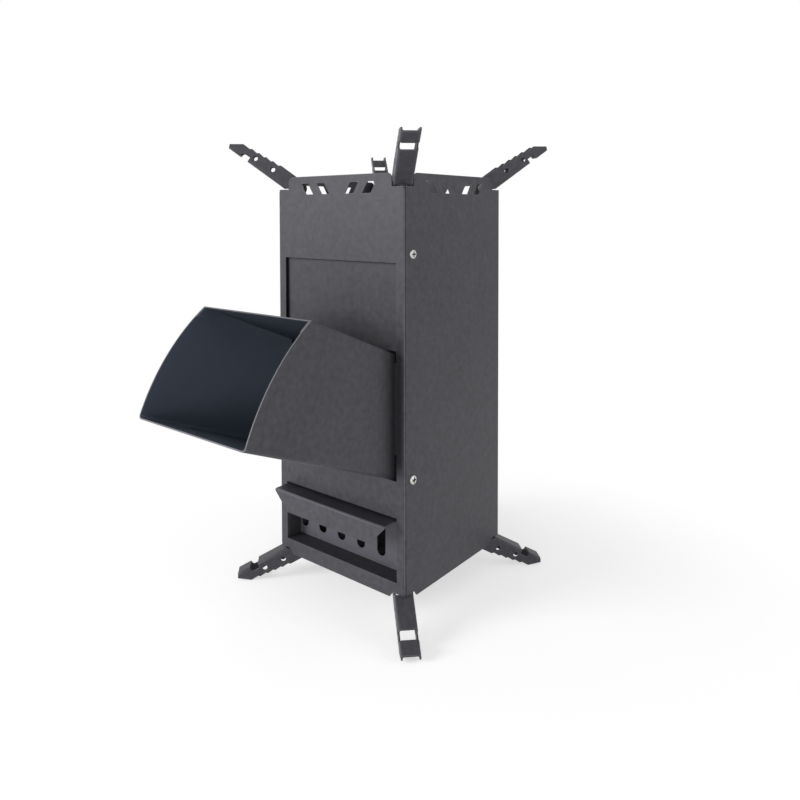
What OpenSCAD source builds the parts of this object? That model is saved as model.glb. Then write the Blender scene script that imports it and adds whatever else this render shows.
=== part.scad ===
// Folding camping wood stove: a square sheet-steel body on four fold-out legs, with a fold-in
// fuel chute, a smoke flap, an air drawer and four fold-out pot supports. Sizes are in millimetres.
// The front faces -Y. The legs stand on Z = 0.

/* [Body] */
// Width and depth of the square body
body_w = 130; // [122:1:140]
// Rise of the pot supports' heads above the upper edge of the body
support_rise = 26.6; // [23:0.1:29]
// Height of the lower edge of the body above the ground
body_bottom = 21.1; // [19:0.1:22]
// Thickness of the body sheet
body_t = 1; // [0.8:0.1:1.2]
// Outer radius of the body's vertical bends
body_bend_r = 1.6; // [1.4:0.1:3.4]
// Width of the notches at the corners, measured along each face
notch_w = 11.6; // [11:0.1:13]
// Depth of the upper corner notches
top_notch_d = 9.7; // [9:0.1:10]
// Height of the lower corner notches
bottom_notch_d = 4; // [3.9:0.1:5]
// Radius of the panel corners beside the upper notches
shoulder_r = 4; // [2:0.1:6]

/* [Openings in the front] */
// Width of the panel left at each side of the two openings
opening_side = 7.5; // [7:0.1:7.7]
// Lower edge of the chute opening
chute_open_z0 = 106.8; // [104:0.1:107]
// Height of the panel above the chute opening
chute_open_drop = 64.4; // [62:0.1:66]
// Lower edge of the drawer opening
drawer_open_z0 = 32.7; // [32:0.1:34]
// Upper edge of the drawer opening
drawer_open_z1 = 80.1; // [79:0.1:84]

/* [Vent slots] */
// Distance of the vent slots' lower edge below the upper edge of the body
vent_drop = 14.1; // [12.4:0.1:18.4]
// Height of the vent slots
vent_h = 8.5; // [6:0.1:9]
// Width of one vent slot, measured along the face
vent_w = 8.2; // [6:0.1:9]
// Sideways lean of a vent slot over its height
vent_lean = 5.5; // [2:0.1:7]
// Middle of the inner vent slots from the middle of the face, as a share of the body's width
vent_x_share = 0.1154; // [0.1:0.0001:0.123]
// Spacing of the two vent slots of a pair, as a share of the body's width
vent_pitch_share = 0.1323; // [0.123:0.0001:0.138]

/* [Chute] */
// Gap between the chute and each side of its opening
chute_side_gap = 2.5; // [2:0.1:4.5]
// Gap left above the mouth of the chute when it is folded in
chute_fold_gap = 2.3; // [2.1:0.1:6.3]
// Gap between the chute's lid and the lower edge of the smoke flap
lid_gap = 2; // [0.5:0.1:12]
// Depth of the chute's floor below the pivot, square to its floor
chute_under = 3.7; // [3.4:0.1:3.8]
// Slope of the chute when it stands open, in degrees
chute_slope = 22.4; // [22:0.1:25]
// Thickness of the chute sheet
chute_t = 1; // [0.8:0.1:1.2]
// Outer radius of the bends along the chute's floor
chute_bend_r = 3; // [2:0.1:5]
// Height of the chute's pivot screws
chute_pivot_z = 107.7; // [107.6:0.1:108.2]
// Distance of the pivot screws behind the front face
pivot_back = 9; // [8.8:0.1:9.4]

/* [Smoke flap] */
// Height of the smoke flap's pivot screws above the chute opening
flap_pivot_rise = 6.2; // [6:0.1:7]
// Share of the chute opening's height that lies below the flap
flap_low_share = 0.5941; // [0.593:0.0001:0.618]
// Gap between the flap and each side wall
flap_side_gap = 3; // [2.7:0.1:5]
// Thickness of the flap sheet
flap_t = 0.8; // [0.6:0.1:0.9]

/* [Drawer] */
// Gap between the drawer front and each side of its opening
drawer_side_gap = 0.5; // [0.4:0.1:1.5]
// Distance of the drawer front behind the front face
drawer_recess = 14.3; // [13:0.1:16]
// Reach of the drawer's handle in front of the front face
handle_out = 13.5; // [10:0.1:18]
// Height of the handle's turned-down lip
handle_drop = 15.8; // [12:0.1:17]
// Upper face of the handle
handle_z = 78.5; // [77:0.1:78.8]
// Gap behind the drawer tray
tray_back_gap = 17.7; // [9.7:0.1:33.7]
// Height of the tray's walls
tray_h = 22; // [14:1:30]
// Distance of the outer air slots' middle from the drawer front's side edges
slot_end = 5.25; // [5:0.05:12]
// Width of an air slot
slot_w = 8.2; // [5:0.1:9]
// Height of an air slot
slot_h = 27; // [20:0.1:30]
// Lowest point of the air slots above the ground
slot_z0 = 39.6; // [39.4:0.1:42]
// Number of air slots
slot_count = 6; // [4:2:6]

/* [Fold-out arms] */
// Overall height of the stove, from the feet to the heads of the pot supports
total_h = 355; // [345:0.5:365]
// Outer width of an arm's channel
arm_w = 13.8; // [13.4:0.1:14]
// Thickness of the arm sheet
arm_t = 1.2; // [1:0.1:1.3]
// Depth of the arm's channel near the body
arm_depth = 13.5; // [13.2:0.1:13.6]
// Length of the arm's web, from the datum near the body to the hook
web_len = 36.3; // [34:0.1:40]
// Width of the hook's gap
hook_w = 7.2; // [5:0.1:8]
// Depth of the hook's gap
hook_d = 4; // [3:0.1:5]
// Length of the nose beyond the hook
nose_len = 12.1; // [11:0.1:14]
// Height of the nose's tip
nose_h = 3.2; // [2:0.1:4]
// Length of the flat head at the tip
head_len = 11; // [9:0.1:12]
// Upward tilt of the open pot supports, in degrees
support_tilt = 36.3; // [35.5:0.1:37]
// Downward tilt of the open legs, in degrees
leg_tilt = 26.5; // [26:0.1:27]
// Distance of the arm pivots inside the body's corners, along the diagonal
arm_pivot_in = 16.92; // [16.52:0.01:17.12]
// Spacing of the teeth
tooth_pitch = 6.4; // [5:0.1:6.6]
// Height of the teeth
tooth_h = 1.2; // [0.8:0.1:1.4]
// Number of valleys between the teeth
tooth_count = 5; // [3:1:5]
// Diameter of the round holes along an arm
arm_hole_d = 4; // [3:0.1:4.6]

/* [Fixings] */
// Diameter of the pivot screws
screw_d = 4; // [3.4:0.1:4.2]
// Diameter of the screw heads
screw_head_d = 7; // [6.4:0.1:8]
// Height of the screw heads
screw_head_h = 1.8; // [1.6:0.1:2.6]
// Diameter of the arm pins
pin_d = 4; // [3.4:0.1:4.4]
// Radial clearance of each pin and screw in its hole
fit = 0.05; // [0.03:0.01:0.09]
// Clearance between neighbouring sheets
gap = 0.3; // [0.25:0.05:0.4]

/* [Hidden] */

steel = [0.30, 0.30, 0.31];
dark_steel = [0.22, 0.22, 0.23];
bright_steel = [0.78, 0.78, 0.76];
CORNERS = [-45, 45, 135, 225];
over = 1;
fine = 48;

// Sizes worked out from others are kept to a tenth of a millimetre
steps_per_mm = 10;
function to_step(x) = round(x * steps_per_mm) / steps_per_mm;

// Body: half sizes and the seam behind the front bends
half = body_w / 2;
inner = half - body_t;
body_top = to_step(total_h - support_rise);
seam_back = 0.4;
seam_gap = 0.8;
seam_y = -half + body_bend_r + seam_back;
flange_len = 12;
flange_out = inner - gap;
flange_z0 = body_bottom + bottom_notch_d + 2 * body_t;
flange_z1 = body_top - top_notch_d - 2 * body_t;
notch_chamfer = 2.7;
pivot_y = -half + pivot_back;
arm_pivot_r = to_step(half * sqrt(2) - arm_pivot_in);

// Openings and vent slots
opening_w = body_w - 2 * opening_side;
chute_open_z1 = to_step(body_top - chute_open_drop);
vent_z0 = to_step(body_top - vent_drop);
vent_x = to_step(vent_x_share * body_w);
vent_pitch = to_step(vent_pitch_share * body_w);

// Floor, grate and their carriers
floor_t = 1;
floor_top = drawer_open_z0;
floor_bottom = floor_top - floor_t;
floor_rim_h = 7.5;
floor_rim_end = 24;
floor_rim_len = 2 * (inner - floor_rim_end);
grate_z = 92;
grate_t = 1.2;
grate_edge = 2.5;
grate_size = 2 * (inner - grate_edge);
grate_slot_w = 7;
grate_slot_end = 17.5;
grate_slot_len = grate_size - 2 * grate_slot_end;
grate_slot_side = 9.5;
grate_slot_count = 9;
grate_slot_pitch = (grate_size - 2 * grate_slot_side) / (grate_slot_count - 1);
ledge_len = 26;
ledge_end = 17;
ledge_y = inner - ledge_end - ledge_len / 2;
ledge_reach = 9;
ledge_h = 10;
ledge_t = 1;

// Drawer
sheet_bend_r = 1.6;
drawer_t = 1;
drawer_w = opening_w - 2 * drawer_side_gap;
slot_pitch = to_step((drawer_w - 2 * slot_end) / (slot_count - 1));
drawer_y = -half + drawer_recess;
drawer_z0 = floor_top + gap;
tray_t = 0.8;
tray_side_gap = 1.2;
tray_w = drawer_w - 2 * tray_side_gap;
tray_front_h = 5.6;
tray_y0 = drawer_y + drawer_t;
tray_len = to_step(inner - tray_back_gap - tray_y0);
guide_t = 1;
guide_h = 12;
guide_foot = 5;
guide_end_gap = 4;
guide_x = tray_w / 2 + gap;
drawer_rivet_d = 3;
drawer_rivet_head_h = 0.8;
drawer_rivet_pitch = 2 * slot_pitch;

// Chute: its outline lies in a plane of s, outward along its floor, and w, square to the floor
mouth_steps = 24;
chute_ear_r = 4.8;
chute_floor_s0 = 5.2;
chute_w = opening_w - 2 * chute_side_gap;
chute_r = to_step(chute_open_z1 - chute_pivot_z - chute_fold_gap);
chute_inner_y = -inner + gap + chute_t;
flap_bottom_z = to_step(chute_open_z0 + flap_low_share * (chute_open_z1 - chute_open_z0));
chute_top_w = to_step((flap_bottom_z - lid_gap - chute_pivot_z) * cos(chute_slope)
    - (pivot_y - chute_inner_y) * sin(chute_slope));
chute_tab_reach = 6.6;
chute_tab_low = 18;
chute_tab_high = 8;
lap = 8;

// Smoke flap
flap_offset = 6.1;
flap_top_gap = 3;
flap_w = 2 * (inner - flap_side_gap);
flap_pivot_z = to_step(chute_open_z1 + flap_pivot_rise);
flap_y = pivot_y - flap_offset;
flap_top_z = flap_pivot_z - flap_top_gap;
flap_ear_r = 5.6;

// Fixings
head_recess_d = 1.1;
head_recess_w = 1.1;
head_recess_len = 4.2;
head_edge = 0.7;
nut_af = 7;
nut_h = 3;
nut_gap = 0.2;
screw_tail = 1;
spacer_d = 7;
pin_head_d = 6.4;
pin_head_h = 1.2;
pin_head_gap = 0.15;

// Arm outline: u runs out along the web from the datum near the body, v from the web to the teeth
support_pivot_u = -9.6;
support_pivot_v = 7.7;
support_end_r = 5.8;
support_relief = 1.8;
leg_pivot_u = -0.7;
leg_pivot_v = 6.5;
leg_end_r = 7.2;
leg_relief = 1.9;
leg_web_u = 10.5;
arm_bend_r = 2;
hook_r = 2;
nose_back = 1.4;
nose_u = web_len + hook_w + nose_len;
head_u = nose_u - head_len * cos(support_tilt);
head_v = nose_h + head_len * sin(support_tilt);
valley_back = 6.3;
valley_dip = 0.2;
valley_u = head_u - valley_back;
valley_v = head_v - valley_dip;
valley_step = 0.65;
tooth_rise = 1.3;
last_rise = 1.9;
arm_hole_back = 3.6;
arm_hole_u = web_len - arm_hole_back;
arm_hole_pitch = 16.3;
arm_hole_v = 6;
arm_hole_step = 1;

// Pivots of the arms, worked out so that the feet stand on Z = 0 and the heads reach the full height
support_pivot_z = total_h - (head_u - support_pivot_u) * sin(support_tilt)
    - (head_v - support_pivot_v) * cos(support_tilt);
leg_pivot_z = (head_u - leg_pivot_u) * sin(leg_tilt) + (head_v - leg_pivot_v) * cos(leg_tilt);

// Brackets that carry the arm pins between the channel's flanges
bracket_t = 1.2;
ear_t = arm_w / 2 - arm_t - gap;
bracket_low = 20.4;
bracket_high = 6.4;
bracket_out = 3.2;
bracket_z0 = support_pivot_z - bracket_low;
bracket_z1 = support_pivot_z - bracket_high;
bracket_r = arm_pivot_r + bracket_out;
bracket_tab = 10;
support_ear_r = 4.6;
leg_ear_r = 4.2;
leg_bracket_len = 9.6;

// The frame's origin lies on the ground, under the middle of the whole open stove
mouth_y = pivot_y - chute_r * cos(chute_slope - asin(chute_under / chute_r));
support_reach = arm_pivot_r + (nose_u - support_pivot_u) * cos(support_tilt)
    - (nose_h - support_pivot_v) * sin(support_tilt);
rear_y = (support_reach + arm_w / 2) / sqrt(2);
frame_y = -(mouth_y + rear_y) / 2;

module placed() {
    translate([0, frame_y, 0]) children();
}

// A square with four round corners
module round_square(size, r) {
    square([size, size - 2 * r], center = true);
    square([size - 2 * r, size], center = true);
    for (x = [-1, 1], y = [-1, 1])
        translate([x * (size / 2 - r), y * (size / 2 - r)]) circle(r = r, $fn = fine);
}

// Lays a drawing of the x-z plane upright, from y = 0 back by the depth
module upright(depth) {
    translate([0, depth, 0]) rotate([90, 0, 0]) linear_extrude(depth) children();
}

// Lays a drawing of the y-z plane across the stove, centred on x = 0
module across(width) {
    translate([-width / 2, 0, 0]) rotate([90, 0, 90]) linear_extrude(width) children();
}

// Section of the body's wall
module wall_ring() {
    difference() {
        round_square(body_w, body_bend_r);
        round_square(body_w - 2 * body_t, body_bend_r - body_t);
    }
}

// What an upper corner notch takes out of one face
module top_notch_outline() {
    translate([half - notch_w, body_top - top_notch_d]) square([notch_w + over, top_notch_d + over]);
    difference() {
        translate([half - notch_w - shoulder_r, body_top - shoulder_r])
            square([shoulder_r + over, shoulder_r + over]);
        translate([half - notch_w - shoulder_r, body_top - shoulder_r]) circle(r = shoulder_r, $fn = fine);
        translate([half - notch_w - 2 * shoulder_r, body_top - 2 * shoulder_r])
            square([shoulder_r, 3 * shoulder_r]);
    }
}

// What a lower corner notch takes out of one face
module bottom_notch_outline() {
    polygon([[half - notch_w - notch_chamfer, body_bottom - over],
        [half - notch_w - notch_chamfer, body_bottom],
        [half - notch_w, body_bottom + bottom_notch_d],
        [half + over, body_bottom + bottom_notch_d],
        [half + over, body_bottom - over]]);
}

module corner_notches() {
    for (turn = [0, 90, 180, 270], side = [0, 1])
        rotate([0, 0, turn]) mirror([side, 0, 0]) translate([0, -half - over, 0])
            upright(notch_w + over) {
                top_notch_outline();
                bottom_notch_outline();
            }
}

// One slanted vent slot with its lower end towards the middle of the face
module vent_outline(x) {
    polygon([[x - vent_lean / 2 - vent_w / 2, vent_z0],
        [x - vent_lean / 2 + vent_w / 2, vent_z0],
        [x + vent_lean / 2 + vent_w / 2, vent_z0 + vent_h],
        [x + vent_lean / 2 - vent_w / 2, vent_z0 + vent_h]]);
}

module vents() {
    for (turn = [0, 90, 180, 270], side = [0, 1], k = [0, 1])
        rotate([0, 0, turn]) mirror([side, 0, 0]) translate([0, -half - over, 0])
            upright(body_t + 2 * over) vent_outline(vent_x + k * vent_pitch);
}

// Holes for the pivot screws in both side walls
module screw_holes(z) {
    translate([-half - over, pivot_y, z]) rotate([0, 90, 0])
        cylinder(d = screw_d + 2 * fit, h = body_w + 2 * over, $fn = fine);
}

module front_panel() {
    color(steel) placed() difference() {
        union() {
            translate([0, 0, body_bottom]) linear_extrude(body_top - body_bottom) intersection() {
                wall_ring();
                translate([-half - over, -half - over])
                    square([body_w + 2 * over, seam_y + half + over - seam_gap]);
            }
            translate([0, 0, flange_z0]) linear_extrude(flange_z1 - flange_z0) for (side = [0, 1])
                mirror([side, 0]) {
                    translate([flange_out - body_t, -inner]) square([body_t, flange_len + body_t]);
                    translate([flange_out - body_t, seam_y - seam_gap - body_t])
                        square([half - flange_out + body_t - gap, body_t]);
                }
        }
        corner_notches();
        vents();
        screw_holes(chute_pivot_z);
        screw_holes(flap_pivot_z);
        translate([-opening_w / 2, -half - over, chute_open_z0])
            cube([opening_w, body_t + 2 * over, chute_open_z1 - chute_open_z0]);
        translate([-opening_w / 2, -half - over, drawer_open_z0])
            cube([opening_w, body_t + 2 * over, drawer_open_z1 - drawer_open_z0]);
    }
}

module wrap_shell() {
    color(steel) placed() difference() {
        translate([0, 0, body_bottom]) linear_extrude(body_top - body_bottom) intersection() {
            wall_ring();
            translate([-half - over, seam_y]) square([body_w + 2 * over, body_w]);
        }
        corner_notches();
        vents();
        screw_holes(chute_pivot_z);
        screw_holes(flap_pivot_z);
    }
}

// Floor with turned-down rims; its front is narrower to pass between the front panel's flanges
module floor_plate() {
    side = inner - gap;
    front_side = flange_out - body_t - gap;
    back_y = -inner + flange_len + body_t + gap;
    color(dark_steel) placed() {
        translate([0, 0, floor_bottom]) linear_extrude(floor_t) polygon([
            [-front_side, -side], [front_side, -side], [front_side, back_y], [side, back_y],
            [side, side], [-side, side], [-side, back_y], [-front_side, back_y]]);
        for (turn = [0, 90, 270]) rotate([0, 0, turn])
            translate([-floor_rim_len / 2, side - floor_t, floor_bottom - floor_rim_h])
                cube([floor_rim_len, floor_t, floor_rim_h]);
    }
}

// Fire grate: a plate with round-ended slots
module fire_grate() {
    color(dark_steel) placed() translate([0, 0, grate_z]) linear_extrude(grate_t) difference() {
        square(grate_size, center = true);
        for (k = [0 : grate_slot_count - 1])
            translate([(k - (grate_slot_count - 1) / 2) * grate_slot_pitch, 0])
                round_slot(grate_slot_w, grate_slot_len);
    }
}

// A round-ended slot, centred, its length along y
module round_slot(width, length) {
    square([width, length - width], center = true);
    for (side = [-1, 1])
        translate([0, side * (length - width) / 2]) circle(d = width, $fn = fine);
}

// Four angle ledges on the side walls carry the grate
module grate_ledges() {
    wall = inner - gap;
    color(dark_steel) placed() for (side = [0, 1], y = [-ledge_y, ledge_y])
        mirror([side, 0, 0]) translate([0, y + ledge_len / 2, 0]) rotate([90, 0, 0])
            linear_extrude(ledge_len) {
                translate([wall - ledge_t, grate_z - ledge_h]) square([ledge_t, ledge_h]);
                translate([wall - ledge_reach, grate_z - ledge_t]) square([ledge_reach, ledge_t]);
            }
}

// Two angle rails on the floor guide the tray and stop the drawer front
module drawer_guides() {
    y0 = tray_y0 + gap;
    length = inner - guide_end_gap - y0;
    color(dark_steel) placed() for (side = [0, 1])
        mirror([side, 0, 0]) translate([guide_x, y0 + length, floor_top]) rotate([90, 0, 0])
            linear_extrude(length) {
                square([guide_t, guide_h]);
                square([guide_foot, guide_t]);
            }
}

// Section of the drawer front: the upright wall, the handle's top and its turned-down lip
module drawer_front_section() {
    y0 = -half - handle_out;
    z0 = drawer_z0;
    difference() {
        union() {
            translate([y0 + sheet_bend_r, z0])
                square([drawer_y + drawer_t - y0 - 2 * sheet_bend_r, handle_z - z0]);
            translate([y0, z0]) square([drawer_y + drawer_t - y0, handle_z - z0 - sheet_bend_r]);
            for (y = [y0 + sheet_bend_r, drawer_y + drawer_t - sheet_bend_r])
                translate([y, handle_z - sheet_bend_r]) circle(r = sheet_bend_r, $fn = fine);
        }
        translate([y0 + drawer_t, z0 - over])
            square([drawer_y - y0 - drawer_t, handle_z - z0 - drawer_t + over]);
        translate([y0 - over, z0 - over])
            square([over + 2 * drawer_t, handle_z - handle_drop - z0 + over]);
    }
}

module drawer_front() {
    y0 = -half - handle_out;
    color(steel) placed() difference() {
        across(drawer_w) drawer_front_section();
        for (side = [0, 1]) mirror([side, 0, 0])
            translate([0, y0 - over, 0]) upright(2 * over + drawer_t + drawer_t / 2) polygon([
                [drawer_w / 2 + over, handle_z - sheet_bend_r],
                [drawer_w / 2, handle_z - sheet_bend_r],
                [drawer_w / 2 - handle_drop + sheet_bend_r, handle_z - handle_drop],
                [drawer_w / 2 - handle_drop + sheet_bend_r, handle_z - handle_drop - over],
                [drawer_w / 2 + over, handle_z - handle_drop - over]]);
        for (k = [0 : slot_count - 1])
            translate([(k - (slot_count - 1) / 2) * slot_pitch, drawer_y - over, slot_z0 + slot_h / 2])
                upright(drawer_t + 2 * over) round_slot(slot_w, slot_h);
        rivet_places() translate([0, 0, -over])
            cylinder(d = drawer_rivet_d + 2 * fit, h = drawer_t + tray_t + 2 * over, $fn = fine);
    }
}

// The three rivets' places on the drawer front, with +Z running back into the tray's front wall
module rivet_places() {
    for (k = [-1, 0, 1])
        translate([k * drawer_rivet_pitch, drawer_y, drawer_z0 + (tray_t + tray_front_h) / 2])
            rotate([-90, 0, 0]) children();
}

module drawer_tray() {
    color(dark_steel) placed() difference() {
        translate([-tray_w / 2, tray_y0, drawer_z0]) cube([tray_w, tray_len, tray_h]);
        translate([-tray_w / 2 + tray_t, tray_y0 + tray_t, drawer_z0 + tray_t])
            cube([tray_w - 2 * tray_t, tray_len - 2 * tray_t, tray_h]);
        translate([-tray_w / 2 + tray_t, tray_y0 - over, drawer_z0 + tray_front_h])
            cube([tray_w - 2 * tray_t, tray_t + 2 * over, tray_h]);
        rivet_places() translate([0, 0, -over])
            cylinder(d = drawer_rivet_d + 2 * fit, h = drawer_t + tray_t + 2 * over, $fn = fine);
    }
}

// Rivets, flush in front, that join the tray to the drawer front
module drawer_rivets() {
    color(dark_steel) placed() rivet_places() {
        cylinder(d = drawer_rivet_d, h = drawer_t + tray_t, $fn = fine);
        translate([0, 0, drawer_t + tray_t])
            cylinder(d = drawer_rivet_d + 2 * drawer_rivet_head_h, h = drawer_rivet_head_h, $fn = fine);
    }
}

// Turns the chute's own plane of s and w to its open place, with x still across the stove
module chute_frame() {
    translate([0, pivot_y, chute_pivot_z]) rotate([-chute_slope, 0, 0]) mirror([0, 1, 0]) children();
}

// Distance along the floor at which a height above it meets the plane just behind the front panel
function inner_s(w) = (pivot_y - chute_inner_y + w * sin(chute_slope)) / cos(chute_slope);

// Angle of a point of the mouth at a height above the pivot, seen from the pivot
function mouth_angle(w) = asin(w / chute_r);

// Outline of the chute's side, from the floor to a given height and from a given start of the floor
module chute_outline(w0, w1) {
    a0 = mouth_angle(w0);
    a1 = mouth_angle(w1);
    polygon(concat([for (k = [0 : mouth_steps]) let (a = a0 + (a1 - a0) * k / mouth_steps)
            [chute_r * cos(a), chute_r * sin(a)]],
        [[inner_s(w1), w1], [inner_s(0), 0], [chute_floor_s0, 0], [chute_floor_s0, w0]]));
}

module chute_shell() {
    wall_top = chute_top_w - chute_t;
    color(steel) placed() difference() {
        union() {
            chute_frame() intersection() {
                rotate([-90, 0, 0]) mirror([0, 1, 0]) linear_extrude(chute_r) difference() {
                    chute_tube(chute_w, chute_bend_r, 0);
                    chute_tube(chute_w - 2 * chute_t, chute_bend_r - chute_t, chute_t);
                }
                across(chute_w + 2 * over) chute_outline(-chute_under, wall_top);
            }
            chute_frame() chute_ears();
            chute_tabs();
        }
        translate([-half, pivot_y, chute_pivot_z]) rotate([0, 90, 0])
            cylinder(d = screw_d + 2 * fit, h = body_w, $fn = fine);
    }
}

// Section of the chute's duct in the plane of x and w, open above
module chute_tube(width, r, lift) {
    translate([-width / 2, -chute_under + lift + r]) square([width, chute_top_w + chute_under]);
    translate([-width / 2 + r, -chute_under + lift]) square([width - 2 * r, r + over]);
    for (side = [-1, 1])
        translate([side * (width / 2 - r), -chute_under + lift + r]) circle(r = r, $fn = fine);
}

// Round ears that carry the side walls on the pivot screws
module chute_ears() {
    for (side = [0, 1]) mirror([side, 0, 0])
        translate([chute_w / 2 - chute_t, 0, 0]) rotate([90, 0, 90]) linear_extrude(chute_t) {
            circle(r = chute_ear_r, $fn = fine);
            square([inner_s(chute_ear_r), chute_ear_r]);
        }
}

// Tabs turned outward at the inner ends of the side walls; they stop the open chute at the panel
module chute_tabs() {
    low = chute_pivot_z + chute_tab_low;
    high = flap_bottom_z - chute_tab_high;
    for (side = [0, 1]) mirror([side, 0, 0])
        translate([chute_w / 2 - chute_t, -inner + gap, low])
            cube([chute_tab_reach + chute_t, chute_t, high - low]);
}

// The chute's lid: a plate with two laps turned down inside the side walls
module chute_top() {
    lap_out = chute_w / 2 - chute_t;
    color(steel) placed() chute_frame() {
        intersection() {
            translate([-chute_w / 2, 0, chute_top_w - chute_t]) cube([chute_w, chute_r, chute_t]);
            across(chute_w + 2 * over) chute_outline(-chute_under, chute_top_w);
        }
        for (side = [0, 1]) mirror([side, 0, 0]) intersection() {
            translate([lap_out - chute_t, 0, chute_top_w - chute_t - lap]) cube([chute_t, chute_r, lap]);
            across(chute_w + 2 * over) chute_outline(-chute_under, chute_top_w);
        }
    }
}

module smoke_flap() {
    color(steel) placed() difference() {
        union() {
            translate([-flap_w / 2, flap_y, flap_bottom_z])
                cube([flap_w, flap_t, flap_top_z - flap_bottom_z]);
            for (side = [0, 1]) mirror([side, 0, 0]) translate([flap_w / 2 - flap_t, 0, 0])
                rotate([90, 0, 90]) linear_extrude(flap_t) {
                    translate([pivot_y, flap_pivot_z]) circle(r = flap_ear_r, $fn = fine);
                    translate([flap_y, flap_pivot_z - flap_ear_r])
                        square([pivot_y - flap_y, flap_top_z - flap_pivot_z + flap_ear_r]);
                }
        }
        screw_holes(flap_pivot_z);
    }
}

// A pan-headed screw whose head seats on x = 0, with its shank towards negative x
module pan_screw(length) {
    difference() {
        union() {
            rotate([0, 90, 0]) rotate_extrude($fn = fine) polygon([[0, 0], [screw_head_d / 2, 0],
                [screw_head_d / 2, screw_head_h - 2 * head_edge],
                [screw_head_d / 2 - head_edge / 2, screw_head_h - head_edge / 2],
                [screw_head_d / 2 - 3 * head_edge / 2, screw_head_h], [0, screw_head_h]]);
            translate([-length, 0, 0]) rotate([0, 90, 0])
                cylinder(d = screw_d, h = length + head_edge, $fn = fine);
        }
        for (turn = [0, 90]) rotate([turn, 0, 0])
            translate([screw_head_h - head_recess_d, -head_recess_len / 2, -head_recess_w / 2])
                cube([head_recess_d + over, head_recess_len, head_recess_w]);
    }
}

// A hexagon nut with its outer face on x = 0, towards negative x
module nut() {
    rotate([0, -90, 0]) difference() {
        cylinder(d = nut_af / cos(30), h = nut_h, $fn = 6);
        translate([0, 0, -over]) cylinder(d = screw_d + 2 * fit, h = nut_h + 2 * over, $fn = fine);
    }
}

chute_nut_x = chute_w / 2 - chute_t - nut_gap;
flap_nut_x = flap_w / 2 - flap_t - nut_gap;

module screw_pair(z, nut_x) {
    for (side = [0, 1]) mirror([side, 0, 0])
        translate([half, pivot_y, z]) pan_screw(half - nut_x + nut_h + screw_tail);
}

module nut_pair(z, nut_x) {
    for (side = [0, 1]) mirror([side, 0, 0]) translate([nut_x, pivot_y, z]) nut();
}

module chute_screws() {
    color(bright_steel) placed() screw_pair(chute_pivot_z, chute_nut_x);
}

module flap_screws() {
    color(bright_steel) placed() screw_pair(flap_pivot_z, flap_nut_x);
}

module chute_nuts() {
    color(bright_steel) placed() nut_pair(chute_pivot_z, chute_nut_x);
}

module flap_nuts() {
    color(bright_steel) placed() nut_pair(flap_pivot_z, flap_nut_x);
}

// Spacer tubes between the front panel's flanges and the chute's side walls
module chute_spacers() {
    x0 = chute_w / 2 + gap;
    x1 = flange_out - body_t;
    color(dark_steel) placed() for (side = [0, 1]) mirror([side, 0, 0])
        translate([x0, pivot_y, chute_pivot_z]) rotate([0, 90, 0]) difference() {
            cylinder(d = spacer_d, h = x1 - x0, $fn = fine);
            translate([0, 0, -over]) cylinder(d = screw_d + 2 * fit, h = x1 - x0 + 2 * over, $fn = fine);
        }
}

// Outline of an arm's flange in u and v
module arm_outline(web_u, relief, pivot_u, pivot_v, end_r) {
    difference() {
        union() {
            polygon(concat([[web_u, 0], [nose_u - nose_back, 0], [nose_u, nose_h], [head_u, head_v]],
                [for (k = [0 : tooth_count - 1]) let (u = valley_u - k * tooth_pitch,
                        v = valley_v + k * valley_step, last = k == tooth_count - 1)
                    each [[u, v], last ? [u - last_rise, arm_depth] : [u - tooth_rise, v + tooth_h]]],
                [[pivot_u, arm_depth], [pivot_u, relief], [web_u - relief, relief]]));
            intersection() {
                translate([pivot_u, pivot_v]) circle(r = end_r, $fn = 2 * fine);
                translate([pivot_u - end_r - over, relief]) square([end_r + 2 * over, arm_depth - relief]);
            }
        }
        translate([web_len, -over]) square([hook_w - hook_r, hook_d + over]);
        translate([web_len + hook_r, -over]) square([hook_w - hook_r, hook_d + over - hook_r]);
        translate([web_len + hook_w - hook_r, hook_d - hook_r]) circle(r = hook_r, $fn = fine);
    }
}

// Section of an arm's channel in t and v
module arm_section() {
    difference() {
        arm_tube(arm_w, arm_bend_r, 0);
        arm_tube(arm_w - 2 * arm_t, arm_bend_r - arm_t, arm_t);
    }
}

module arm_tube(width, r, lift) {
    translate([-width / 2, lift + r]) square([width, arm_depth + over]);
    translate([-width / 2 + r, lift]) square([width - 2 * r, r + over]);
    for (side = [-1, 1]) translate([side * (width / 2 - r), lift + r]) circle(r = r, $fn = fine);
}

// A whole arm with u along x, t along y and v along z
module arm(web_u, relief, pivot_u, pivot_v, end_r) {
    difference() {
        intersection() {
            translate([0, arm_w / 2 + over, 0]) rotate([90, 0, 0]) linear_extrude(arm_w + 2 * over)
                arm_outline(web_u, relief, pivot_u, pivot_v, end_r);
            translate([pivot_u - end_r - over, 0, 0]) rotate([90, 0, 90])
                linear_extrude(nose_u - pivot_u + end_r + 2 * over) arm_section();
        }
        for (k = [0, 1])
            translate([arm_hole_u - k * arm_hole_pitch, arm_w, arm_hole_v + k * arm_hole_step])
                rotate([90, 0, 0]) cylinder(d = arm_hole_d, h = 2 * arm_w, $fn = fine);
        translate([pivot_u, arm_w, pivot_v]) rotate([90, 0, 0])
            cylinder(d = pin_d + 2 * fit, h = 2 * arm_w, $fn = fine);
    }
}

module pot_support(corner) {
    color(steel) placed() rotate([0, 0, CORNERS[corner]]) translate([arm_pivot_r, 0, support_pivot_z])
        rotate([0, -support_tilt, 0]) translate([-support_pivot_u, 0, -support_pivot_v])
            arm(0, support_relief, support_pivot_u, support_pivot_v, support_end_r);
}

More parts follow.
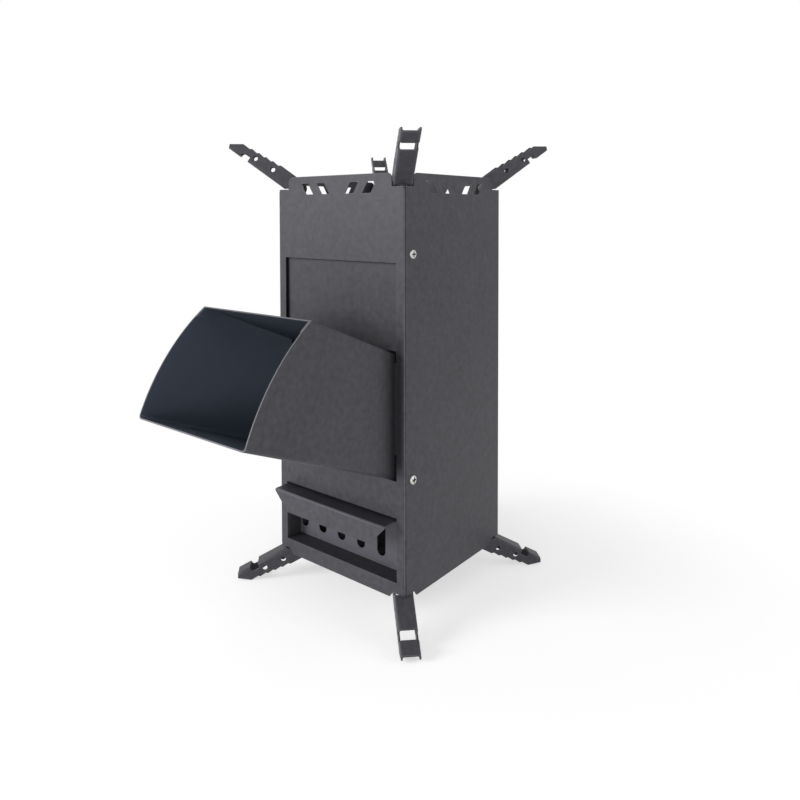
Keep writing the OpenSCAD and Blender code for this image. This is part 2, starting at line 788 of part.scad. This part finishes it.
module leg(corner) {
    color(steel) placed() rotate([0, 0, CORNERS[corner]]) translate([arm_pivot_r, 0, leg_pivot_z])
        rotate([0, leg_tilt, 0]) mirror([0, 0, 1]) translate([-leg_pivot_u, 0, -leg_pivot_v])
            arm(leg_web_u, leg_relief, leg_pivot_u, leg_pivot_v, leg_end_r);
}

// A bracket across an upper corner: a plate with tabs along both walls and two ears for the pin
module support_bracket(corner) {
    wall = inner - gap;
    inset = bracket_r * sqrt(2) - wall;
    color(dark_steel) placed() rotate([0, 0, CORNERS[corner]]) difference() {
        union() {
            translate([0, 0, bracket_z0]) linear_extrude(bracket_z1 - bracket_z0) intersection() {
                union() {
                    translate([bracket_r, -wall]) square([bracket_t, 2 * wall]);
                    for (side = [0, 1]) mirror([0, side]) rotate([0, 0, -45])
                        translate([wall - bracket_t, inset - bracket_tab])
                            square([bracket_t, bracket_tab + bracket_t]);
                }
                rotate([0, 0, -45]) square([wall, wall]);
            }
            for (side = [-1, 1]) bracket_ear(side * (ear_t - bracket_t / 2));
        }
        pin_bore(arm_pivot_r, support_pivot_z);
    }
}

// One ear of an upper bracket, standing on the plate's inner side
module bracket_ear(t) {
    translate([0, t + bracket_t / 2, 0]) rotate([90, 0, 0]) linear_extrude(bracket_t) {
        translate([arm_pivot_r, support_pivot_z]) circle(r = support_ear_r, $fn = fine);
        translate([arm_pivot_r - support_ear_r, bracket_z0])
            square([2 * support_ear_r, bracket_z1 - bracket_z0]);
        translate([arm_pivot_r - support_ear_r, bracket_z0])
            square([bracket_r - arm_pivot_r + support_ear_r, support_pivot_z - bracket_z0]);
    }
}

// A pin hole across the diagonal
module pin_bore(r, z) {
    translate([r, arm_w, z]) rotate([90, 0, 0]) cylinder(d = pin_d + 2 * fit, h = 2 * arm_w, $fn = fine);
}

// A clip under the floor plate with two ears for the pin of a leg
module leg_bracket(corner) {
    color(dark_steel) placed() rotate([0, 0, CORNERS[corner]]) difference() {
        union() {
            translate([arm_pivot_r - leg_bracket_len / 2, -ear_t, floor_bottom - bracket_t])
                cube([leg_bracket_len, 2 * ear_t, bracket_t]);
            for (side = [-1, 1])
                translate([0, side * (ear_t - bracket_t / 2) + bracket_t / 2, 0]) rotate([90, 0, 0])
                    linear_extrude(bracket_t) {
                        translate([arm_pivot_r, leg_pivot_z]) circle(r = leg_ear_r, $fn = fine);
                        translate([arm_pivot_r - leg_ear_r, leg_pivot_z])
                            square([2 * leg_ear_r, floor_bottom - leg_pivot_z]);
                    }
        }
        pin_bore(arm_pivot_r, leg_pivot_z);
    }
}

// A headed pin across the diagonal
module arm_pin(z) {
    reach = arm_w / 2 + pin_head_gap;
    translate([arm_pivot_r, reach, z]) rotate([90, 0, 0]) {
        cylinder(d = pin_d, h = 2 * reach, $fn = fine);
        translate([0, 0, -pin_head_h]) cylinder(d = pin_head_d, h = pin_head_h, $fn = fine);
        translate([0, 0, 2 * reach]) cylinder(d = pin_head_d, h = pin_head_h, $fn = fine);
    }
}

module support_pins() {
    color(bright_steel) placed() for (corner = CORNERS) rotate([0, 0, corner]) arm_pin(support_pivot_z);
}

module leg_pins() {
    color(bright_steel) placed() for (corner = CORNERS) rotate([0, 0, corner]) arm_pin(leg_pivot_z);
}

front_panel();
wrap_shell();
floor_plate();
fire_grate();
grate_ledges();
drawer_guides();
drawer_front();
drawer_tray();
drawer_rivets();
chute_shell();
chute_top();
chute_screws();
chute_spacers();
chute_nuts();
smoke_flap();
flap_screws();
flap_nuts();
pot_support(0);  // pot_support_1
pot_support(1);  // pot_support_2
pot_support(2);  // pot_support_3
pot_support(3);  // pot_support_4
support_bracket(0);  // support_bracket_1
support_bracket(1);  // support_bracket_2
support_bracket(2);  // support_bracket_3
support_bracket(3);  // support_bracket_4
support_pins();
leg(0);  // leg_1
leg(1);  // leg_2
leg(2);  // leg_3
leg(3);  // leg_4
leg_bracket(0);  // leg_bracket_1
leg_bracket(1);  // leg_bracket_2
leg_bracket(2);  // leg_bracket_3
leg_bracket(3);  // leg_bracket_4
leg_pins();
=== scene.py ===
"""Folding camping wood stove: the looks of a square sheet-steel stove with a fold-in chute, an air
drawer and fold-out arms. Lengths are in metres; the front faces -Y and the feet stand on Z = 0."""
import math

import bmesh
import bpy
from mathutils import Matrix, Vector


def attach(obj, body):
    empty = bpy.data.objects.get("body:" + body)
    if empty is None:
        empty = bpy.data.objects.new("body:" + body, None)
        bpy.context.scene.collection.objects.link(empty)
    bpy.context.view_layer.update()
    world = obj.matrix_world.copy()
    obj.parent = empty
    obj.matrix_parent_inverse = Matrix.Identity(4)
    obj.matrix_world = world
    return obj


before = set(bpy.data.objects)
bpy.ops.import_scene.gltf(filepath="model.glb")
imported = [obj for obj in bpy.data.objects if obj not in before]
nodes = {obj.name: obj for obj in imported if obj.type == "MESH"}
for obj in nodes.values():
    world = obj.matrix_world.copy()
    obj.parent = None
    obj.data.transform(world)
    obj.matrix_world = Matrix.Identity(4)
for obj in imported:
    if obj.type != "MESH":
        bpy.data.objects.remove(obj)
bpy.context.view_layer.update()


# The camera stands in front of the stove's near corner at the height of its upper third and looks
# almost level, so the picture's frame is moved down to take in the feet.
EYE_PLACE = (0.3710, -0.40376, 0.2992)
EYE_TURN = 39.165
EYE_DIP = 1.906
EYE_ROLL = -0.124
EYE_LENS = 31.815
EYE_SHIFT = (0.0109, -0.2037)
EYE_NEAREST = 0.01

eye = bpy.data.objects.new("camera", bpy.data.cameras.new("camera"))
bpy.context.scene.collection.objects.link(eye)
bpy.context.scene.camera = eye
eye.data.lens = EYE_LENS
eye.data.shift_x, eye.data.shift_y = EYE_SHIFT
eye.data.clip_start = EYE_NEAREST
eye.matrix_world = (
    Matrix.Translation(EYE_PLACE)
    @ Matrix.Rotation(math.radians(EYE_TURN), 4, "Z")
    @ Matrix.Rotation(math.radians(90 - EYE_DIP), 4, "X")
    @ Matrix.Rotation(math.radians(EYE_ROLL), 4, "Z")
)


# The body is two folded steel sheets, the front panel, whose sides turn back round the corners, and
# the wrap of the other three walls, powder-coated in satin charcoal with a fine grain. The coat is
# paler along the softly rounded cut edges as a painted highlight, and darker beside the chute's
# opening as a painted shadow of the chute.
COAT_TINT = (0.078, 0.0778, 0.0895)
COAT_GLOSS = 0.28
COAT_ROUGH = 0.46
SAND_NOISE, RIPPLE_NOISE, CLOUD_NOISE = (1500, 2, 0.55), (240, 1, 0.4), (26, 3, 0.6)
SAND_HEIGHT, RIPPLE_HEIGHT = 0.000028, 0.00004
SAND_ROUGH, RIPPLE_ROUGH, ROUGH_LEVEL = 0.05, 0.06, 0.05
SAND_MOTTLE, RIPPLE_MOTTLE, CLOUD_MOTTLE = 0.8, 1.2, 0.4
MOTTLE_LEVEL = 0.7
MOTTLE_SPREAD = 0.25
# The rounded edges' coat is paler and smoother than the body's: a painted highlight.
EDGE_HIGHLIGHT_PALER = 1.9
EDGE_SMOOTH = 0.38
EDGE_ROUND = 0.00022
EDGE_STEPS = 2
EDGE_ANGLE = 30
JOIN_REACH = 0.000002
BODY_HALF = 0.065
FRONT_PANEL_Y = -0.0136
WALL_FROM = 0.06
SPOT_SIDE = 0.0412
SPOT_HEIGHT = 0.3078
SPOT_RADIUS = 0.0019
SPOT_DEPTH = 0.0002
# Painted shadow of the chute on the front panel, beside its opening.
PANEL_SHADOW_TINT = (0.026, 0.026, 0.032)
PANEL_SHADOW_SHARE = 0.85
PANEL_SHADOW_SIDE = (0.0638, 0.0608)
PANEL_SHADOW_FOOT = (0.110, 0.122)
PANEL_SHADOW_HEAD = (0.212, 0.198)


class Wire:
    """A socket of a material. Arithmetic on wires adds Math nodes; node() adds any other node."""

    def __init__(self, tree, socket=None):
        self.tree, self.socket = tree, socket

    def node(self, kind, settings=None, inputs=None, out=0):
        made = self.tree.nodes.new("ShaderNode" + kind)
        for key, value in (settings or {}).items():
            setattr(made, key, value)
        live = [s for s in made.inputs if s.enabled]
        for key, value in (inputs or {}).items():
            socket = live[key] if isinstance(key, int) else next(s for s in live if s.name == key)
            if isinstance(value, Wire):
                self.tree.links.new(value.socket, socket)
            else:
                socket.default_value = value
        outs = [s for s in made.outputs if s.enabled]
        return Wire(self.tree, outs[out] if isinstance(out, int) else made.outputs[out])

    def math(self, operation, *values):
        return self.node("Math", {"operation": operation}, dict(enumerate(values)))

    def __add__(self, other):
        return self.math("ADD", self, other)

    def __sub__(self, other):
        return self.math("SUBTRACT", self, other)

    def __rsub__(self, other):
        return self.math("SUBTRACT", other, self)

    def __mul__(self, other):
        return self.math("MULTIPLY", self, other)

    def __truediv__(self, other):
        return self.math("DIVIDE", self, other)

    def __rtruediv__(self, other):
        return self.math("DIVIDE", other, self)

    def __gt__(self, other):
        return self.math("GREATER_THAN", self, other)

    def __lt__(self, other):
        return self.math("LESS_THAN", self, other)

    def __abs__(self):
        return self.math("ABSOLUTE", self)

    __radd__ = __add__
    __rmul__ = __mul__


def new_finish(name):
    """A material with an empty node tree, and a wire to start from."""
    finish = bpy.data.materials.new(name)
    finish.use_nodes = True
    finish.node_tree.nodes.clear()
    return finish, Wire(finish.node_tree)


def show(shader, output="OutputMaterial"):
    """Sends a shader to the output of its material or world."""
    last = shader.tree.nodes.new("ShaderNode" + output)
    shader.tree.links.new(shader.socket, last.inputs["Surface"])


def shaded(tint, share):
    """A tint made darker or paler."""
    return [c * share for c in tint]


def mix_colour(wire, factor, low, high):
    """A colour between two colours."""
    low, high = (c if isinstance(c, Wire) else (*c, 1) for c in (low, high))
    return wire.node("Mix", {"data_type": "RGBA"}, {"Factor": factor, "A": low, "B": high})


def piece_axes(wire):
    """The x, y and z of a point of the piece."""
    spot = wire.node("SeparateXYZ", None, {0: wire.node("TexCoord", out="Object")})
    return [Wire(wire.tree, spot.socket.node.outputs[axis]) for axis in "XYZ"]


def noise(wire, scale, detail, roughness=0.5):
    """Soft noise over the piece, between nought and one. The scale is in cells to a metre."""
    place = wire.node("TexCoord", out="Object")
    settings = {"Vector": place, "Scale": scale, "Detail": detail, "Roughness": roughness}
    return wire.node("TexNoise", None, settings)


def ramp(wire, value, start, end, smooth=False):
    """Nought where the value is at the start, and one where it is at the end."""
    kind = {"interpolation_type": "SMOOTHSTEP" if smooth else "LINEAR"}
    return wire.node("MapRange", kind, {"Value": value, "From Min": start, "From Max": end})


def powder_coat(name, tint, gloss=COAT_GLOSS, rough=COAT_ROUGH, grain=1.0, shade=None, dents=None):
    """Satin powder coat: a fine sandy grain over a slow ripple, with faint clouds in its colour.
    shade(wire, colour) may change the colour, and dents(wire) gives a height in metres."""
    finish, wire = new_finish(name)
    sand = noise(wire, *SAND_NOISE)
    ripple = noise(wire, *RIPPLE_NOISE)
    cloud = noise(wire, *CLOUD_NOISE)
    blend = sand * SAND_MOTTLE + ripple * RIPPLE_MOTTLE + cloud * CLOUD_MOTTLE - MOTTLE_LEVEL
    deep, pale = shaded(tint, 1 - MOTTLE_SPREAD), shaded(tint, 1 + MOTTLE_SPREAD)
    colour = mix_colour(wire, blend, deep, pale)
    if shade:
        colour = shade(wire, colour)
    height = (sand * SAND_HEIGHT + ripple * RIPPLE_HEIGHT) * grain
    if dents:
        height = height + dents(wire)
    show(wire.node("BsdfPrincipled", None, {
        "Base Color": colour,
        "Roughness": rough - ROUGH_LEVEL + ripple * RIPPLE_ROUGH + sand * SAND_ROUGH,
        "Specular IOR Level": gloss,
        "Normal": wire.node("Bump", None, {"Strength": 1.0, "Distance": 1.0, "Height": height}),
    }))
    return finish


def weld_dimples(wire):
    """Shallow rings where the corner brackets are spot-welded behind the walls, two to a wall."""
    x, y, z = piece_axes(wire)
    across = (x, y - (FRONT_PANEL_Y + BODY_HALF))
    up = z - SPOT_HEIGHT
    total = 0
    for along, other in (across, reversed(across)):
        side = abs(along) - SPOT_SIDE
        reach = side.math("SQRT", side * side + up * up)
        ring = 1 - side.math("MINIMUM", reach / SPOT_RADIUS, 1)
        total = total + ring * (abs(other) > WALL_FROM)
    return total * -SPOT_DEPTH


def chute_shadow_on_panel(wire, colour):
    """Painted shadow of the chute: darkens the front panel beside the chute's opening."""
    x, y, z = piece_axes(wire)
    beside = ramp(wire, abs(x), *PANEL_SHADOW_SIDE)
    height = ramp(wire, z, *PANEL_SHADOW_FOOT) * ramp(wire, z, *PANEL_SHADOW_HEAD)
    return mix_colour(wire, beside * height * (y < 0) * PANEL_SHADOW_SHARE, colour, PANEL_SHADOW_TINT)


def coat_node(name, finish, edge_highlight=None, round_edges=EDGE_ROUND):
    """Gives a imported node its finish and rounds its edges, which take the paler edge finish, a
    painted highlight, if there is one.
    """
    part = nodes[name]
    part.data.materials.clear()
    part.data.materials.append(finish)
    if edge_highlight:
        part.data.materials.append(edge_highlight)
    join = part.modifiers.new("join", "WELD")
    join.merge_threshold = JOIN_REACH
    edges = part.modifiers.new("edges", "BEVEL")
    edges.width = round_edges
    edges.segments = EDGE_STEPS
    edges.limit_method = "ANGLE"
    edges.angle_limit = math.radians(EDGE_ANGLE)
    edges.use_clamp_overlap = False
    edges.harden_normals = True
    edges.material = 1 if edge_highlight else -1


body_coat = powder_coat("body_coat", COAT_TINT, shade=chute_shadow_on_panel, dents=weld_dimples)
# A paler copy of the body coat for the rounded edges: a painted highlight.
edge_highlight_coat = powder_coat("edge_highlight_coat", shaded(COAT_TINT, EDGE_HIGHLIGHT_PALER), rough=EDGE_SMOOTH)
for name in ("front_panel", "wrap_shell"):
    coat_node(name, body_coat, edge_highlight_coat)


# The smoke flap is a plain plate hung from two ears behind the front panel. It has the same coat as
# the panel, a touch duller, and a dark line of painted shadow, where the panel's edges shade it,
# runs along the edges of the opening it shuts.
FLAP_SHADE = 0.92
FLAP_ROUGH = 0.5
# The dark tint for painted shadow and painted shade, on the flap's edges and on the chute.
PAINTED_SHADE_TINT = (0.024, 0.024, 0.027)
EDGE_SHADOW_SHARE = 0.8
EDGE_SHADOW_HEAD = (0.2617, 0.2634)
EDGE_SHADOW_SIDE = (0.0559, 0.0571)


def flap_edge_shadow(wire, colour):
    """Painted shadow along the top and the two sides of the opening that the flap closes."""
    x, _, z = piece_axes(wire)
    line = x.math("MAXIMUM", ramp(wire, z, *EDGE_SHADOW_HEAD), ramp(wire, abs(x), *EDGE_SHADOW_SIDE))
    return mix_colour(wire, line * EDGE_SHADOW_SHARE, colour, PAINTED_SHADE_TINT)


flap_tint = shaded(COAT_TINT, FLAP_SHADE)
flap_coat = powder_coat("flap_coat", flap_tint, rough=FLAP_ROUGH, shade=flap_edge_shadow)
coat_node("smoke_flap", flap_coat, edge_highlight_coat)


# The chute is a folded tray with a lid, made of the same sheet. Inside it the coat is a thinner,
# bluish black, painted paler deep inside as painted light and darker on the bottom and the lid as
# painted shade. The cut edge of its mouth is paler, a painted highlight, and painted shade darkens
# the chute where it meets the front panel.
CHUTE_PIVOT = Vector((0, -0.004601, 0.1077))
CHUTE_SLOPE = 22.4
CHUTE_HALF = 0.055
CHUTE_TOP = 0.0811
CHUTE_UNDER = 0.0037
CHUTE_BEND = 0.003
CHUTE_REACH = 0.154
CHUTE_DEEP = CHUTE_REACH / 3
CHUTE_SHEET = 0.001
CHUTE_SKIN = 0.00045
INNER_TINT = (0.103, 0.125, 0.166)
# Painted light deep inside, and painted shade on the flat bottom and lid.
DEEP_LIGHT_TINT = (0.240, 0.284, 0.364)
FLAT_SHADE_TINT = (0.078, 0.093, 0.122)
# Painted highlight on the mouth's cut edge.
MOUTH_HIGHLIGHT_TINT = (0.20, 0.20, 0.22)
# Painted shade on the chute's outside near the front panel.
CHUTE_SHADE_REACH = (0.028, 0.006)
CHUTE_SHADE_SHARE = 0.75


def chute_shade(wire, colour):
    """Outside, painted shade darkens the chute near the panel. Inside, found from the duct's own
    section, the walls are painted paler away from the mouth as painted light, and the bottom and
    the lid darker as painted shade. The mouth's rim is painted paler as a painted highlight."""
    x, y, z = piece_axes(wire)
    slope = math.radians(CHUTE_SLOPE)
    y, z = y - CHUTE_PIVOT.y, z - CHUTE_PIVOT.z
    height = y * math.sin(slope) + z * math.cos(slope)
    reach = x.math("SQRT", y * y + z * z)

    out = x.math("MAXIMUM", abs(x) - (CHUTE_HALF - CHUTE_BEND), 0)
    down = x.math("MAXIMUM", (CHUTE_BEND - CHUTE_UNDER) - height, 0)
    corner = x.math("SQRT", out * out + down * down)
    inside = (corner < CHUTE_BEND - CHUTE_SKIN) * (height < CHUTE_TOP - CHUTE_SKIN)

    # The lining is painted paler deeper inside as painted light, and darker on the bottom and lid
    # as painted shade.
    deep_light = ramp(wire, reach, CHUTE_REACH, CHUTE_DEEP)
    wall = ramp(wire, abs(x), CHUTE_HALF - CHUTE_BEND, CHUTE_HALF - 2 * CHUTE_SHEET)
    lining = mix_colour(wire, deep_light, INNER_TINT, DEEP_LIGHT_TINT)
    lining = mix_colour(wire, wall, FLAT_SHADE_TINT, lining)

    # Painted shade: the outside darkens towards the front panel.
    panel_shade = ramp(wire, y * -1, *CHUTE_SHADE_REACH, smooth=True)
    colour = mix_colour(wire, panel_shade * CHUTE_SHADE_SHARE, colour, PAINTED_SHADE_TINT)
    colour = mix_colour(wire, inside, colour, lining)
    # Painted highlight: the mouth's cut edge is paler.
    return mix_colour(wire, reach > CHUTE_REACH - CHUTE_SKIN / 2, colour, MOUTH_HIGHLIGHT_TINT)


chute_coat = powder_coat("chute_coat", COAT_TINT, shade=chute_shade)
for name in ("chute_shell", "chute_top"):
    coat_node(name, chute_coat)


# The air drawer's front is one sheet with six slots; its top edge turns forward into the handle and
# down again into a lip with mitred ends. The tray behind it is thinner sheet, held by three rivets.
DRAWER_PALER = 1.14
TRAY_SHADE = 0.8
TRAY_ROUGH = 0.52
TRAY_ROUND = 0.00015
RIVET_ROUND = 0.0001
HANDLE_TOP = 0.0771
HANDLE_BEND_Y = -0.0257
FACE_Y = -0.002
# A painted shadow of the chute on the handle's top plate, and painted light on its bend and face.
HANDLE_SHADOW_TINT = (0.026, 0.027, 0.036)
HANDLE_SHADOW_NOISE = (120, 3)
SHADOW_LEAST, SHADOW_SPREAD = 0.45, 0.7
PAINTED_LIGHT_PALER = 2
BEND_SHARE, FACE_SHARE = 0.5, 0.7


def handle_light_and_shade(wire, colour):
    """The handle's top plate is darkened with noisy streaks, a painted shadow of the chute. The
    bend in front of it is a painted highlight, and the face between the slots, under the handle, is
    painted paler as painted light."""
    _, y, z = piece_axes(wire)
    high = z > HANDLE_TOP
    plate = high * (y > HANDLE_BEND_Y) * (noise(wire, *HANDLE_SHADOW_NOISE) * SHADOW_SPREAD + SHADOW_LEAST)
    bend = high * (y < HANDLE_BEND_Y) * BEND_SHARE
    face = (y > FACE_Y) * (z < HANDLE_TOP) * FACE_SHARE
    shadowed = mix_colour(wire, plate, colour, HANDLE_SHADOW_TINT)
    return mix_colour(wire, face + bend, shadowed, shaded(COAT_TINT, PAINTED_LIGHT_PALER))


drawer_coat = powder_coat("drawer_coat", shaded(COAT_TINT, DRAWER_PALER), shade=handle_light_and_shade)
tray_coat = powder_coat("tray_coat", shaded(COAT_TINT, TRAY_SHADE), rough=TRAY_ROUGH)
coat_node("drawer_front", drawer_coat, edge_highlight_coat)
for name in ("drawer_tray", "drawer_guides"):
    coat_node(name, tray_coat, round_edges=TRAY_ROUND)
coat_node("drawer_rivets", drawer_coat, round_edges=RIVET_ROUND)


# Two bent cheeks line the sides of the drawer's opening and guide its front as it slides. Each is a
# strip of sheet in the tray's coat, with a narrow foot spot-welded behind the front panel.
CHEEK_X = 0.0575
CHEEK_SHEET = 0.0009
CHEEK_FOOT = 0.0042
CHEEK_FRONT, CHEEK_BACK = -0.01254, 0.0015
CHEEK_LOW, CHEEK_HIGH = 0.03285, 0.0815
CHEEK_BEND = 0.0009
CHEEK_STEPS = 6


def bent_strip(name, side):
    """An L-shaped strip standing upright: its wall runs back from its foot behind the panel."""
    outer = CHEEK_BEND + CHEEK_SHEET
    turn = [math.radians(180 + 90 * k / CHEEK_STEPS) for k in range(CHEEK_STEPS + 1)]
    inner_arc, outer_arc = (
        [(CHEEK_X + outer + r * math.cos(a), CHEEK_FRONT + outer + r * math.sin(a)) for a in turn]
        for r in (CHEEK_BEND, outer)
    )
    far = CHEEK_X + outer + CHEEK_FOOT
    ring = [(CHEEK_X, CHEEK_BACK), *outer_arc, (far, CHEEK_FRONT), (far, CHEEK_FRONT + CHEEK_SHEET),
            *reversed(inner_arc), (CHEEK_X + CHEEK_SHEET, CHEEK_BACK)]
    sheet = bmesh.new()
    low_ring = [sheet.verts.new((side * x, y, CHEEK_LOW)) for x, y in ring]
    high_ring = [sheet.verts.new((side * x, y, CHEEK_HIGH)) for x, y in ring]
    for k in range(len(ring)):
        n = (k + 1) % len(ring)
        sheet.faces.new((low_ring[k], low_ring[n], high_ring[n], high_ring[k]))
    sheet.faces.new(low_ring)
    sheet.faces.new(high_ring)
    bmesh.ops.recalc_face_normals(sheet, faces=sheet.faces)
    strip = bpy.data.objects.new(name, bpy.data.meshes.new(name))
    sheet.to_mesh(strip.data)
    sheet.free()
    bpy.context.scene.collection.objects.link(strip)
    return strip


for side, name in ((-1, "drawer_cheek_left"), (1, "drawer_cheek_right")):
    cheek = bent_strip(name, side)
    cheek.data.materials.append(tray_coat)
    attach(cheek, "stove_body")


# The floor plate closes the body below, and the fire grate lies on four ledges on the side walls.
# Their coat is thin and without gloss, a touch darker and rougher than that of the walls.
FIRE_SHADE = 0.72
FIRE_GLOSS = 0.14
FIRE_ROUGH = 0.62
FIRE_GRAIN = 1.4

fire_tint = shaded(COAT_TINT, FIRE_SHADE)
fire_coat = powder_coat("fire_coat", fire_tint, FIRE_GLOSS, FIRE_ROUGH, FIRE_GRAIN)
for name in ("floor_plate", "fire_grate", "grate_ledges"):
    coat_node(name, fire_coat)


# Eight arms fold out at the corners: four legs and four pot supports. Each is a punched channel
# with teeth along its upper edges, a hook and two holes, in the same charcoal coat.
ARM_COUNT = 4
ARM_SHADE = 0.98
ARM_ROUND = 0.00018

arm_coat = powder_coat("arm_coat", shaded(COAT_TINT, ARM_SHADE))
for k in range(1, ARM_COUNT + 1):
    for name in ("pot_support_%d" % k, "leg_%d" % k):
        coat_node(name, arm_coat, edge_highlight_coat, ARM_ROUND)
    for name in ("support_bracket_%d" % k, "leg_bracket_%d" % k):
        coat_node(name, arm_coat, round_edges=ARM_ROUND)


# The chute and the flap turn on plated pan-head screws with cross recesses, held by hexagon nuts.
# The arms turn on plain steel pins. Both have fine turning marks, and a recess is painted nearly
# black as painted shade.
SCREW_TINT, PIN_TINT = (0.62, 0.62, 0.61), (0.52, 0.52, 0.52)
SCREW_ROUGH, PIN_ROUGH = 0.3, 0.38
SCREW_MARKS, PIN_MARKS = 0.000006, 0.00001
SCREW_ROUND, PIN_ROUND = 0.00015, 0.0002
FILM_NOISE, MARK_NOISE = (900, 3), (5200, 2)
FILM_SHADE = 0.82
FILM_ROUGH, FILM_LEVEL = 0.16, 0.06
SCREW_HEIGHTS = (0.1077, 0.2702)
HEAD_FLAT = 0.06655
RECESS_REACH = 0.0024
RECESS_SHADE = 0.12


def painted_recess_shade(wire):
    """One in the screws' cross recesses, which lie deeper than the crown of their heads: the mask
    of a painted shade.
    """
    x, y, z = piece_axes(wire)
    y = y - CHUTE_PIVOT.y
    total = 0
    for height in SCREW_HEIGHTS:
        up = z - height
        total = total + (x.math("SQRT", y * y + up * up) < RECESS_REACH)
    return total * (abs(x) < HEAD_FLAT)


def plating(name, tint, rough, marks, shade_mask=None):
    """Bright metal with fine turning marks and a faint smoky film, darkened as painted shade where
    the last argument's mask is.
    """
    finish, wire = new_finish(name)
    film = noise(wire, *FILM_NOISE)
    height = noise(wire, *MARK_NOISE) * marks
    colour = mix_colour(wire, film, shaded(tint, FILM_SHADE), tint)
    if shade_mask:
        colour = mix_colour(wire, shade_mask(wire), colour, shaded(tint, RECESS_SHADE))
    show(wire.node("BsdfPrincipled", None, {
        "Base Color": colour,
        "Metallic": 1.0,
        "Roughness": rough - FILM_LEVEL + film * FILM_ROUGH,
        "Normal": wire.node("Bump", None, {"Strength": 1.0, "Distance": 1.0, "Height": height}),
    }))
    return finish


screw_plate = plating("screw_plate", SCREW_TINT, SCREW_ROUGH, SCREW_MARKS, painted_recess_shade)
pin_steel = plating("pin_steel", PIN_TINT, PIN_ROUGH, PIN_MARKS)
for name in ("chute_screws", "flap_screws", "chute_nuts", "flap_nuts"):
    coat_node(name, screw_plate, round_edges=SCREW_ROUND)
for name in ("support_pins", "leg_pins", "chute_spacers"):
    coat_node(name, pin_steel, round_edges=PIN_ROUND)


# The stove stands on a plain white table. Away from the stove the table runs out into plain white,
# which the camera, gloss and glass see, and which gives the stove no light.
WHITE = (1, 1, 1, 1)
FLOOR_HALF = 3.0
FLOOR_CELLS = 8
FLOOR_DROP = 0.0002
FLOOR_PAPER = (0.97, 0.97, 0.97, 1)
FLOOR_LIFT = 0.545
FADE_CENTRE = (0.05, 0.035, 0)
FADE_NEAR, FADE_FAR = 0.12, 0.34

table = bmesh.new()
bmesh.ops.create_grid(table, x_segments=FLOOR_CELLS, y_segments=FLOOR_CELLS, size=FLOOR_HALF)
floor = bpy.data.objects.new("floor", bpy.data.meshes.new("floor"))
table.to_mesh(floor.data)
table.free()
bpy.context.scene.collection.objects.link(floor)
floor.location.z = -FLOOR_DROP


def seen_rays(wire):
    """One for the rays by which the camera, gloss or glass sees, and nought for all others."""
    rays = wire.node("LightPath").socket.node.outputs
    eye_ray, gloss_ray, glass_ray = (
        Wire(wire.tree, rays["Is %s Ray" % kind]) for kind in ("Camera", "Glossy", "Transmission")
    )
    return eye_ray + gloss_ray + glass_ray > 0.5


floor_white, wire = new_finish("floor_white")
seen = seen_rays(wire)
place = wire.node("TexCoord", out="Object")
reach = wire.node("VectorMath", {"operation": "DISTANCE"}, {0: place, 1: FADE_CENTRE}, "Value")
fade = ramp(wire, reach, FADE_NEAR, FADE_FAR, smooth=True)
paper = wire.node("BsdfDiffuse", None, {"Color": FLOOR_PAPER})
lift = wire.node("Emission", None, {"Color": WHITE, "Strength": FLOOR_LIFT})
lifted = wire.node("AddShader", None, {0: paper, 1: lift})
near = wire.node("MixShader", None, {0: seen, 1: paper, 2: lifted})
plain = wire.node("Emission", None, {"Color": WHITE, "Strength": 1.0})
show(wire.node("MixShader", None, {0: fade * seen, 1: near, 2: plain}))
floor.data.materials.append(floor_white)


# A large soft lamp at the left of the camera lights the front, a second one lights the right wall,
# and a weak one reaches into the chute's mouth. The room adds an even, low light.
ROOM_LIGHT = 0.26


def soft_lamp(name, place, aim, size, power):
    """A round soft lamp at a place, turned to what it lights."""
    lamp = bpy.data.objects.new(name, bpy.data.lights.new(name, "AREA"))
    lamp.data.shape = "DISK"
    lamp.data.size = size
    lamp.data.energy = power
    lamp.location = place
    lamp.rotation_euler = (Vector(aim) - Vector(place)).to_track_quat("-Z", "Y").to_euler()
    bpy.context.scene.collection.objects.link(lamp)


soft_lamp("key_lamp", place=(-0.85, -1.45, 0.66), aim=(0, 0, 0.20), size=0.8, power=15.4)
soft_lamp("side_lamp", place=(1.50, 0.50, 0.55), aim=(0, 0, 0.18), size=0.8, power=3.8)
soft_lamp("mouth_lamp", place=(0.75, -1.30, 0.30), aim=(0, -0.1, 0.18), size=0.5, power=3.4)

room = bpy.data.worlds.new("studio")
bpy.context.scene.world = room
room.use_nodes = True
room.node_tree.nodes.clear()
sky = Wire(room.node_tree)
strength = seen_rays(sky) * (1 - ROOM_LIGHT) + ROOM_LIGHT
show(sky.node("Background", None, {"Color": WHITE, "Strength": strength}), "OutputWorld")
bpy.context.scene.view_settings.view_transform = "Standard"
